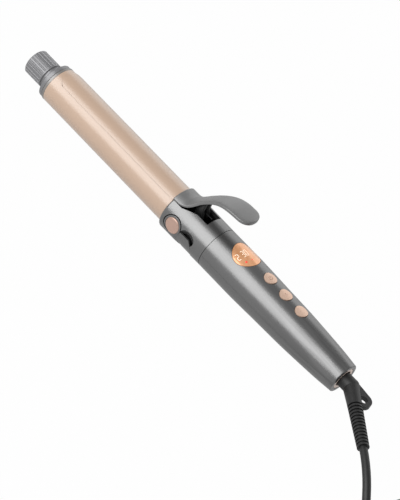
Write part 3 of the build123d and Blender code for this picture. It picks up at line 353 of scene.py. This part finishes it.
# Spring steel and folded brackets, blackened in oil: dark with a low sheen.
black_steel = finish_of("blackened_steel", "#2E2E30", "#232325", 0.8, 0.45, 0.5, 0.003)
# Stamped brass contacts and plug blades: bright yellow.
brass = finish_of("stamped_brass", "#D8B56A", "#C8A45C", 1.0, 0.30, 0.5, 0.003)
# Extruded aluminium of the heater: fine lines lengthwise.
extrusion = finish_of("extruded_aluminium", "#C9CACC", "#B8B9BB", 1.0, 0.38, 0.5, 0.004, (0.05, 1, 1))
# Pressed and fired ceramic: chalky off-white.
ceramic = finish_of("fired_ceramic", "#E4DFD2", "#D8D2C4", 0.0, 0.5, 0.6, 0.01)
# Printed solder resist on the board: satin green.
resist = finish_of("solder_resist", "#1E6B3A", "#175A30", 0.0, 0.35, 1.2, 0.004)
# Boxed film capacitor, moulded: plain mustard yellow.
mustard = finish_of("mustard_case", "#CFA63A", "#C29A30", 0.0, 0.45, 0.8, 0.004)
# Woven glass sleeve over the wires: dull off-white threads.
sleeve = finish_of("woven_glass_sleeve", "#DAD6CC", "#BEB9AE", 0.0, 0.7, 0.35, 0.03)

SLOTS = {
    "champagne_coat": champagne,
    "champagne_steel": champagne,
    "grey_metallic": grey_flake,
    "tip_grey": tip_flake,
    "lever_grey": lever_flake,
    "silver_trim": silver,
    "rose_gold": rose_gold,
    "rose_trim": pale_rose,
    "amber_lens": amber,
    "black_rubber": rubber,
    "black_plastic": black_nylon,
    "stand_grey": grey_flake,
    "bare_aluminium": extrusion,
    "ceramic_element": ceramic,
    "heat_moulding": black_nylon,
    "steel_parts": plated_steel,
    "black_steel": black_steel,
    "board_green": resist,
    "chip_black": black_nylon,
    "module_black": black_nylon,
    "capacitor_yellow": mustard,
    "brass_contact": brass,
    "wire_jacket": sleeve,
    "glass_bead": ceramic,
}


def copied_finish(name, source):
    """A copy of a finish, its tree and shader, its own tone, and a node for places on the piece."""
    material = source.copy()
    material.name = name
    tree = material.node_tree
    shader = next(node for node in tree.nodes if node.type == "BSDF_PRINCIPLED")
    tone = shader.inputs["Base Color"].links[0].from_socket
    return material, tree, shader, tone, add_node(tree, "ShaderNodeTexCoord")


def out_from_axis(tree, place):
    """The place on the piece from the nearest point of the barrel's axis: 0, y, z - axis height."""
    lowered = add_node(
        tree,
        "ShaderNodeVectorMath",
        {0: place.outputs["Object"], 1: (0, 0, AXIS_HEIGHT * MM)},
        operation="SUBTRACT",
    )
    square = add_node(
        tree,
        "ShaderNodeVectorMath",
        {0: lowered.outputs[0], 1: (0, 1, 1)},
        operation="MULTIPLY",
    )
    return square.outputs[0]


def shade_painted_inside(name, source):
    """The same finish outside, and painted shade: plain black wherever the wall lies within the
    shade's radius.
    """
    material, tree, shader, own_tone, place = copied_finish(name, source)
    reach = add_node(
        tree, "ShaderNodeVectorMath", {0: out_from_axis(tree, place)}, operation="LENGTH"
    )
    outside = add_node(
        tree,
        "ShaderNodeMapRange",
        {
            "Value": reach.outputs["Value"],
            "From Min": (SHADE_RADIUS - SHADE_EDGE) * MM,
            "From Max": (SHADE_RADIUS + SHADE_EDGE) * MM,
        },
    )
    tone = add_node(
        tree,
        "ShaderNodeMixRGB",
        {"Fac": outside.outputs["Result"], "Color1": colour(PAINTED_SHADE_BLACK), "Color2": own_tone},
    )
    shine = add_node(
        tree,
        "ShaderNodeMath",
        {0: outside.outputs["Result"], 1: shader.inputs["Metallic"].default_value},
        operation="MULTIPLY",
    )
    tree.links.new(tone.outputs["Color"], shader.inputs["Base Color"])
    tree.links.new(shine.outputs[0], shader.inputs["Metallic"])
    return material


def painted_reflection_streaks(name, source):
    """The same finish with painted reflection: darker lengthwise streaks that grow towards the rear.

    The streaks are noise drawn out along X. Their share of the tone is the noise's depth times a
    ramp along X.
    """
    material, tree, shader, own_tone, place = copied_finish(name, source)
    drawn = add_node(
        tree,
        "ShaderNodeMapping",
        {"Vector": place.outputs["Object"], "Scale": STREAK_SCALE},
    )
    streak = add_node(
        tree,
        "ShaderNodeTexNoise",
        {
            "Vector": drawn.outputs["Vector"],
            "Scale": per_mm(STREAK_WIDTH),
            "Detail": 1.0,
            "Roughness": 0.5,
        },
    )
    apart = add_node(tree, "ShaderNodeSeparateXYZ", {"Vector": place.outputs["Object"]})
    ramp = add_node(
        tree,
        "ShaderNodeMapRange",
        {
            "Value": apart.outputs["X"],
            "From Min": STREAKS_START * MM,
            "From Max": STREAKS_FULL * MM,
            "To Min": STREAK_FRONT_SHARE,
            "To Max": 1.0,
        },
    )
    depth = add_node(
        tree,
        "ShaderNodeMapRange",
        {
            "Value": streak.outputs["Fac"],
            "From Min": STREAK_CORE,
            "From Max": STREAK_RIM,
            "To Min": STREAK_DEPTH,
            "To Max": 0.0,
        },
    )
    share = add_node(
        tree,
        "ShaderNodeMath",
        {0: depth.outputs["Result"], 1: ramp.outputs["Result"]},
        operation="MULTIPLY",
    )
    tone = add_node(
        tree,
        "ShaderNodeMixRGB",
        {"Fac": share.outputs[0], "Color1": own_tone, "Color2": colour(STREAK_GREY)},
    )
    tree.links.new(tone.outputs["Color"], shader.inputs["Base Color"])
    return material


def edges_painted_shade(name, source):
    """The same finish on faces turned from or to the axis, and brown painted shade on the cut edges.

    The brown comes in as the size of normal . outward direction falls from a wall's to an edge's.
    """
    material, tree, shader, own_tone, place = copied_finish(name, source)
    outward = add_node(
        tree, "ShaderNodeVectorMath", {0: out_from_axis(tree, place)}, operation="NORMALIZE"
    )
    facing = add_node(
        tree,
        "ShaderNodeVectorMath",
        {0: place.outputs["Normal"], 1: outward.outputs[0]},
        operation="DOT_PRODUCT",
    )
    size = add_node(tree, "ShaderNodeMath", {0: facing.outputs["Value"]}, operation="ABSOLUTE")
    kept = add_node(
        tree,
        "ShaderNodeMapRange",
        {"Value": size.outputs[0], "From Min": EDGE_FACING, "From Max": WALL_FACING},
    )
    tone = add_node(
        tree,
        "ShaderNodeMixRGB",
        {"Fac": kept.outputs["Result"], "Color1": colour(EDGE_SHADE_BROWN), "Color2": own_tone},
    )
    tree.links.new(tone.outputs["Color"], shader.inputs["Base Color"])
    return material


for entry in frame["record"]["subparts"]:
    for slot in frame["nodes"][entry["node"]].material_slots:
        slot.material = SLOTS[entry["material_slot"]]

# Handle shells: painted reflection, darker lengthwise streaks that stand in for the streaked
# highlight at the rear.
handle_painted_streaks = painted_reflection_streaks("handle_painted_reflection_streaks", grey_flake)
# Collar: painted shade, plain black on the inner walls of its slot and scoops, where shade falls.
collar_with_painted_shade = shade_painted_inside("collar_with_painted_shade", grey_flake)
# Clamp: stamped from coated sheet; its cut edges carry painted shade in brown, for the dark line
# where it meets the barrel.
clamp_finish = edges_painted_shade("clamp_painted_edge_shade", champagne)
for name, finish in (
    ("handle_top_shell", handle_painted_streaks),
    ("handle_bottom_shell", handle_painted_streaks),
    ("collar", collar_with_painted_shade),
    ("clamp_shell", clamp_finish),
    ("stand_caps", rose_cap),
):
    frame["nodes"][name].material_slots[0].material = finish

# The window's rim is polished round.
rim = frame["nodes"]["display_lens"].modifiers.new("polished_rim", "BEVEL")
rim.width = RIM_WIDTH * MM
rim.segments = 3
rim.limit_method = "ANGLE"
rim.angle_limit = math.radians(50)

mains_lead.data.materials.append(rubber)


# ---------------------------------------------------------------- worked-out surfaces
def mesh_object(name, points, faces, material, body):
    """A smooth-shaded mesh from points in millimetres, with its finish, riding on a body."""
    mesh = bpy.data.meshes.new(name)
    mesh.from_pydata((np.asarray(points, float) * MM).tolist(), [], faces)
    mesh.materials.append(material)
    mesh.polygons.foreach_set("use_smooth", [True] * len(mesh.polygons))
    mesh.update()
    made = bpy.data.objects.new(name, mesh)
    bpy.context.scene.collection.objects.link(made)
    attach(made, body)
    return made


def closed_rows(rows, around):
    """Faces that join rows of points, each row a closed loop, with a flat cap on both ends.

    Point j of row i is joined to its neighbour in the loop and to the same two of the next row.
    """
    i, j = np.meshgrid(np.arange(rows - 1), np.arange(around), indexing="ij")
    k = (j + 1) % around
    quads = np.stack([i * around + j, i * around + k, (i + 1) * around + k, (i + 1) * around + j], -1)
    faces = quads.reshape(-1, 4).tolist()
    faces.append(list(range(around))[::-1])
    faces.append([(rows - 1) * around + n for n in range(around)])
    return faces


def smooth_through(stations, values, wanted):
    """Values at the wanted places, by a cubic from each station to the next.

    Its slope at a station is the weighted mean of the slopes on either side.
    """
    stations = np.asarray(stations, float)
    values = np.asarray(values, float)
    slopes = np.gradient(values, stations)
    n = np.clip(np.searchsorted(stations, wanted, side="right") - 1, 0, len(stations) - 2)
    gap = stations[n + 1] - stations[n]
    t = (wanted - stations[n]) / gap
    return (
        (2 * t**3 - 3 * t**2 + 1) * values[n]
        + (t**3 - 2 * t**2 + t) * gap * slopes[n]
        + (3 * t**2 - 2 * t**3) * values[n + 1]
        + (t**3 - t**2) * gap * slopes[n + 1]
    )


# Lever along its middle: x, height above the barrel's axis, half width, and how far the edges
# drop below the middle.
LEVER_STATIONS = np.array(
    [
        (-30.7, 19.0, 11.7, 4.05),
        (-27.5, 19.0, 11.7, 4.05),
        (-24.5, 19.15, 11.5, 3.95),
        (-21.8, 19.9, 10.9, 3.5),
        (-19.2, 21.6, 9.9, 2.7),
        (-16.4, 24.3, 8.9, 1.7),
        (-13.6, 27.3, 8.2, 1.0),
        (-10.7, 30.3, 7.9, 0.7),
        (-5.5, 35.4, 8.0, 0.5),
        (-1.0, 39.0, 8.5, 0.4),
        (3.5, 41.8, 9.3, 0.4),
        (8.5, 43.9, 10.0, 0.4),
        (14.0, 45.2, 10.5, 0.4),
        (21.7, 45.9, 10.5, 0.4),
        (31.2, 46.2, 10.5, 0.4),
    ]
)
LEVER_TIP = 9.5               # length of the rounded corners at the rear end
LEVER_TIP_POWER = 2.3         # 2 would make them round, more makes them fuller
LEVER_THICKNESS = 3.1
SADDLE_THICKNESS = 2.1        # where it lies on the barrel
SADDLE_END = 9.0              # along the lever: there the thickness starts to grow
THICK_START = 16.0            # and there it is full
FRONT_BEVEL = 0.35
FRONT_BEVEL_SHARE = 0.75      # of the thickness, at the very front
LEVER_EDGE = 0.9              # width of the rolled edge
SIDE_POWER = 0.25             # powers of cos and sin round the loop: across,
ROLL_POWER = 0.8              # across in the rolled edge,
FACE_POWER = 0.32             # and through the thickness
LEAST_TIP_SHARE = 0.0004      # keeps the last row from closing to a line
LEAST_HALF_WIDTH = 0.5        # for the bend at the tip
LEVER_ROWS = 99               # up to the rounded corners
LEVER_TIP_ROWS = 51
LEVER_AROUND = 72
LUG_EYE = 4.0                 # radius of the lugs round the hinge pin
LUG_HALF_THICKNESS = 1.4
LUG_MIDDLES = (-3.3, 3.3)
LUG_EYE_POINTS = 13


def lever_surface():
    """Closed surface of the thumb lever as a function of distance along it and angle round its edge.

    Along: x, height, half width and edge drop run smoothly through the stations. Over the tip the
    half width closes as (1 - u^p)^(1/p), with u from 0 to 1 and p the tip's power. Round: a
    flattened loop, cos and sin of the angle each raised to a small power, so that both faces are
    flat and the edges rolled. It is bent down by the drop times the square of the share of half
    width, and set square to the slope of the middle line.
    """
    run = np.concatenate([[0], np.cumsum(np.hypot(*np.diff(LEVER_STATIONS[:, :2], axis=0).T))])
    total = run[-1]
    body_rows = np.linspace(0, total - LEVER_TIP, LEVER_ROWS, endpoint=False)
    tip_rows = np.linspace(total - LEVER_TIP, total, LEVER_TIP_ROWS)
    along = np.concatenate([body_rows, tip_rows])
    x, height, half, drop = [smooth_through(run, LEVER_STATIONS[:, c], along) for c in range(4)]
    into_tip = np.clip((along - (total - LEVER_TIP)) / LEVER_TIP, 0, 1)
    closing = np.maximum(1 - into_tip**LEVER_TIP_POWER, LEAST_TIP_SHARE)
    half = half * closing ** (1 / LEVER_TIP_POWER)
    slope_x = np.gradient(x, along)
    slope_h = np.gradient(height, along)
    length = np.hypot(slope_x, slope_h)
    normal = np.stack([-slope_h / length, slope_x / length], 1)
    thick = np.interp(along, [SADDLE_END, THICK_START], [SADDLE_THICKNESS, LEVER_THICKNESS])
    thick = thick * np.interp(along, [0, FRONT_BEVEL], [FRONT_BEVEL_SHARE, 1.0])
    angle = np.linspace(0, 2 * math.pi, LEVER_AROUND, endpoint=False)
    c, s = np.cos(angle), np.sin(angle)
    side = np.sign(c) * np.abs(c) ** SIDE_POWER
    roll = np.sign(c) * np.abs(c) ** ROLL_POWER
    face = np.sign(s) * np.abs(s) ** FACE_POWER
    edge = np.minimum(half, LEVER_EDGE)[:, None]
    across = (half[:, None] - edge) * side + edge * roll
    width_share = across / np.maximum(half, LEAST_HALF_WIDTH)[:, None]
    lift = thick[:, None] / 2 * (face - 1) - drop[:, None] * width_share**2
    points = np.stack(
        [
            x[:, None] + normal[:, :1] * lift,
            across,
            AXIS_HEIGHT + height[:, None] + normal[:, 1:] * lift,
        ],
        -1,
    )
    return points.reshape(-1, 3), closed_rows(len(along), LEVER_AROUND)


def flat_plate(outline, middle, half_thickness):
    """Points and faces of an upright plate.

    Its outline, in x and height above the barrel's axis, stands at the middle's y less and plus
    the half thickness.
    """
    rows = [
        [(x, middle + y, AXIS_HEIGHT + height) for x, height in outline]
        for y in (-half_thickness, half_thickness)
    ]
    return np.array(rows).reshape(-1, 3), closed_rows(2, len(outline))


lever_points, lever_faces = lever_surface()
lever = mesh_object("thumb_lever", lever_points, lever_faces, lever_flake, "clamp")
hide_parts("clamp_lever")

# Two lugs under the lever, each from a round eye at the hinge pin up into its bend.
lug_outline = [
    (HINGE_X - LUG_EYE, HINGE_HEIGHT),
    (-14.6, 19.0),
    (-15.4, 22.6),
    (-10.0, 28.3),
    (-8.3, 29.0),
    (-7.9, 18.5),
    (HINGE_X + LUG_EYE, HINGE_HEIGHT),
]
lug_outline += [
    (HINGE_X + LUG_EYE * math.cos(a), HINGE_HEIGHT + LUG_EYE * math.sin(a))
    for a in np.linspace(0, -math.pi, LUG_EYE_POINTS)[1:-1]
]
lug_parts = [flat_plate(lug_outline, y, LUG_HALF_THICKNESS) for y in LUG_MIDDLES]
lug_points = np.vstack([points for points, _ in lug_parts])
lug_faces = lug_parts[0][1] + [[v + len(lug_parts[0][0]) for v in f] for f in lug_parts[1][1]]
mesh_object("lever_lugs", lug_points, lug_faces, black_nylon, "clamp")

# ---------------------------------------------------------------- marks on the display and buttons
SEGMENTS = {"0": "abcdef", "2": "abged", "3": "abgcd"}
FIGURES = (("2", -8.3), ("3", -3.3), ("0", 0.0))        # each with its y
DOTS = ((43.8, -6.0, 0.85), (44.4, -0.4, 0.55))         # x, y and radius
FIGURE_X = 37.1
FIGURE_HEIGHT = 5.2           # along X
FIGURE_WIDTH = 2.1
FIGURE_STROKE = 0.38
SIGN_SIZE = 1.5
SIGN_STROKE = 0.5
POWER_GAP = math.radians(70)
POWER_BAR_BACK = 0.75         # sign sizes from the ring's middle to the bar's
POWER_BAR_LENGTH = 1.1        # sign sizes
ARC_POINTS = 24
MARK_SINK = 0.15              # how far a mark reaches into the piece that carries it
LIT_LIFT = 0.03               # and how far it stands out
PRINT_LIFT = 0.02


def wrapped(outline, radius, lift):
    """Points of a flat outline (x, y) laid on a round body of that radius about the axis.

    The angle from straight up is y / radius, and the distance from the axis is radius + lift.
    """
    outline = np.asarray(outline, float)
    angle = outline[:, 1] / radius
    out = radius + lift
    return np.stack([outline[:, 0], out * np.sin(angle), AXIS_HEIGHT + out * np.cos(angle)], 1)


def bar(x, y, long_x, long_y):
    """Corners of one straight bar of a digit or a sign, centred at x, y."""
    a, b = long_x / 2, long_y / 2
    return [(x - a, y - b), (x + a, y - b), (x + a, y + b), (x - a, y + b)]


def digit_bars(figure, x, y):
    """The lit bars of one seven-segment figure. Its top points to -X and it reads towards +Y."""
    level = FIGURE_WIDTH - FIGURE_STROKE
    upright = FIGURE_HEIGHT / 2 - FIGURE_STROKE
    places = {
        "a": (x - FIGURE_HEIGHT / 2, y, FIGURE_STROKE, level),
        "g": (x, y, FIGURE_STROKE, level),
        "d": (x + FIGURE_HEIGHT / 2, y, FIGURE_STROKE, level),
        "f": (x - FIGURE_HEIGHT / 4, y - FIGURE_WIDTH / 2, upright, FIGURE_STROKE),
        "b": (x - FIGURE_HEIGHT / 4, y + FIGURE_WIDTH / 2, upright, FIGURE_STROKE),
        "e": (x + FIGURE_HEIGHT / 4, y - FIGURE_WIDTH / 2, upright, FIGURE_STROKE),
        "c": (x + FIGURE_HEIGHT / 4, y + FIGURE_WIDTH / 2, upright, FIGURE_STROKE),
    }
    return [bar(*places[name]) for name in SEGMENTS[figure]]


def raised_marks(name, outlines, radius, lift, material, body):
    """Thin plates on a round body.

    Each outline is laid round at radius less the sink and at radius plus the lift, and the two
    are joined to a closed slab.
    """
    points, faces = [], []
    for outline in outlines:
        base = len(points)
        points += wrapped(outline, radius, -MARK_SINK).tolist()
        points += wrapped(outline, radius, lift).tolist()
        faces += [[v + base for v in face] for face in closed_rows(2, len(outline))]
    return mesh_object(name, points, faces, material, body)


def round_outline(x, y, radius, count=20, start=0.0, sweep=2 * math.pi):
    """Points on a circle or, with a smaller sweep, along its arc: x + r cos a and y + r sin a."""
    angle = start + np.linspace(0, sweep, count, endpoint=sweep < 2 * math.pi)
    return [(x + radius * math.cos(a), y + radius * math.sin(a)) for a in angle]


def arc_band(x, y, radius, stroke, start, sweep):
    """Outline of a thick arc: out along radius + stroke / 2 and back along radius - stroke / 2."""
    outer = round_outline(x, y, radius + stroke / 2, ARC_POINTS, start, sweep)
    inner = round_outline(x, y, radius - stroke / 2, ARC_POINTS, start, sweep)
    return outer + inner[::-1]


def power_sign(x, y):
    """An open ring with an upright bar in its gap, its top towards -X."""
    sweep = 2 * math.pi - POWER_GAP
    ring = arc_band(x, y, SIGN_SIZE, SIGN_STROKE, -sweep / 2, sweep)
    middle = x - SIGN_SIZE * POWER_BAR_BACK
    return [ring, bar(middle, y, SIGN_SIZE * POWER_BAR_LENGTH, SIGN_STROKE)]


def plus_sign(x, y):
    """A cross of one long bar and two short ones."""
    arm = SIGN_SIZE - SIGN_STROKE / 2
    offset = (arm + SIGN_STROKE) / 2
    arms = [bar(place, y, arm, SIGN_STROKE) for place in (x - offset, x + offset)]
    return [bar(x, y, SIGN_STROKE, 2 * SIGN_SIZE)] + arms


def minus_sign(x, y):
    """A single bar."""
    return [bar(x, y, SIGN_STROKE, 2 * SIGN_SIZE)]


# Figures and dots lit from behind the window: flat warm white and red that stand out from amber.
lit_white = glow_of("lit_figures", "#FFF0DC", 0.55)
lit_red = glow_of("lit_dot", "#EE3A30", 0.5)
# Signs printed on the metallised caps: the same rose gold a shade darker.
sign_ink = finish_of("printed_sign", "#B08C7A", "#A6826F", 0.3, 0.45, 0.2, 0.0)

figures = []
for figure, y in FIGURES:
    figures += digit_bars(figure, FIGURE_X, y)
raised_marks(
    "display_figures", figures, HANDLE_RADIUS, LIT_LIFT, lit_white, "handle"
)
dots = [round_outline(*dot) for dot in DOTS]
raised_marks("display_dots", dots, HANDLE_RADIUS, LIT_LIFT, lit_red, "handle")

for node, sign in (
    ("power_button", power_sign),
    ("heat_up_button", plus_sign),
    ("heat_down_button", minus_sign),
):
    cap_low, cap_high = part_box(node)
    middle = (cap_low[0] + cap_high[0]) / 2 / MM
    crown = cap_high[2] / MM - AXIS_HEIGHT
    outlines = sign(middle, 0.0)
    raised_marks(node + "_sign", outlines, crown, PRINT_LIFT, sign_ink, node)

# ---------------------------------------------------------------- floor, backdrop and light
# In this section places and sizes are in metres, and lamp power is in watts.
FLOOR_REACH = 6.0
FLOOR_GLOW = 0.98             # share of plain white that the camera sees in the floor
MIRRORED_GLOW = 0.5           # and that the iron's reflections see in it
ROOM_STRENGTH = 0.40


def paper_floor(reach):
    """A wide sheet of white paper: it stays white to the camera and keeps a faint shadow."""
    mesh = bpy.data.meshes.new("floor")
    corners = [(-reach, -reach, 0), (reach, -reach, 0), (reach, reach, 0), (-reach, reach, 0)]
    mesh.from_pydata(corners, [], [(0, 1, 2, 3)])
    floor = bpy.data.objects.new("floor", mesh)
    bpy.context.scene.collection.objects.link(floor)
    paper = bpy.data.materials.new("white_paper")
    paper.use_nodes = True
    tree = paper.node_tree
    tree.nodes.clear()
    matt = add_node(tree, "ShaderNodeBsdfDiffuse", {"Color": colour("#C4C4C4")})
    glow = add_node(tree, "ShaderNodeEmission", {"Color": colour("#FFFFFF"), "Strength": 1.0})
    rays = add_node(tree, "ShaderNodeLightPath")
    mirrored = add_node(
        tree,
        "ShaderNodeMath",
        {0: rays.outputs["Is Glossy Ray"], 1: rays.outputs["Is Transmission Ray"]},
        operation="MAXIMUM",
    )
    dimmed = add_node(
        tree, "ShaderNodeMath", {0: mirrored.outputs[0], 1: MIRRORED_GLOW}, operation="MULTIPLY"
    )
    share = add_node(
        tree,
        "ShaderNodeMath",
        {0: rays.outputs["Is Camera Ray"], 1: FLOOR_GLOW, 2: dimmed.outputs[0]},
        operation="MULTIPLY_ADD",
    )
    mixed = add_node(
        tree,
        "ShaderNodeMixShader",
        {0: share.outputs[0], 1: matt.outputs[0], 2: glow.outputs[0]},
    )
    add_node(tree, "ShaderNodeOutputMaterial", {"Surface": mixed.outputs[0]})
    mesh.materials.append(paper)


def dim_room(strength):
    """A white backdrop to the camera, and to the object an even, dim surrounding of that strength."""
    world = bpy.data.worlds.new("surrounding")
    bpy.context.scene.world = world
    world.use_nodes = True
    tree = world.node_tree
    tree.nodes.clear()
    rays = add_node(tree, "ShaderNodeLightPath")
    seen = add_node(
        tree,
        "ShaderNodeMath",
        {0: rays.outputs["Is Camera Ray"], 1: rays.outputs["Is Transmission Ray"]},
        operation="MAXIMUM",
    )
    level = add_node(
        tree,
        "ShaderNodeMath",
        {0: seen.outputs[0], 1: 1.0 - strength, 2: strength},
        operation="MULTIPLY_ADD",
    )
    sky = add_node(
        tree, "ShaderNodeBackground", {"Color": colour("#FFFFFF"), "Strength": level.outputs[0]}
    )
    add_node(tree, "ShaderNodeOutputWorld", {"Surface": sky.outputs[0]})


def soft_light(name, place, target, width, height, power):
    """One soft box: an area light at place that looks at target."""
    data = bpy.data.lights.new(name, "AREA")
    data.shape = "RECTANGLE"
    data.size = width
    data.size_y = height
    data.energy = power
    light = bpy.data.objects.new(name, data)
    bpy.context.scene.collection.objects.link(light)
    away = Vector(place) - Vector(target)
    light.location = place
    light.rotation_mode = "QUATERNION"
    light.rotation_quaternion = away.to_track_quat("Z", "Y")


paper_floor(FLOOR_REACH)
dim_room(ROOM_STRENGTH)
soft_light(
    "front_box", place=(-0.7, -1.65, 1.42), target=(0, 0, 0.02), width=2.6, height=2.3, power=62
)
soft_light(
    "back_box", place=(-0.5, 2.2, 1.1), target=(-0.2, 0, 1.1), width=4.0, height=2.2, power=27
)
bpy.context.scene.view_settings.view_transform = "Standard"
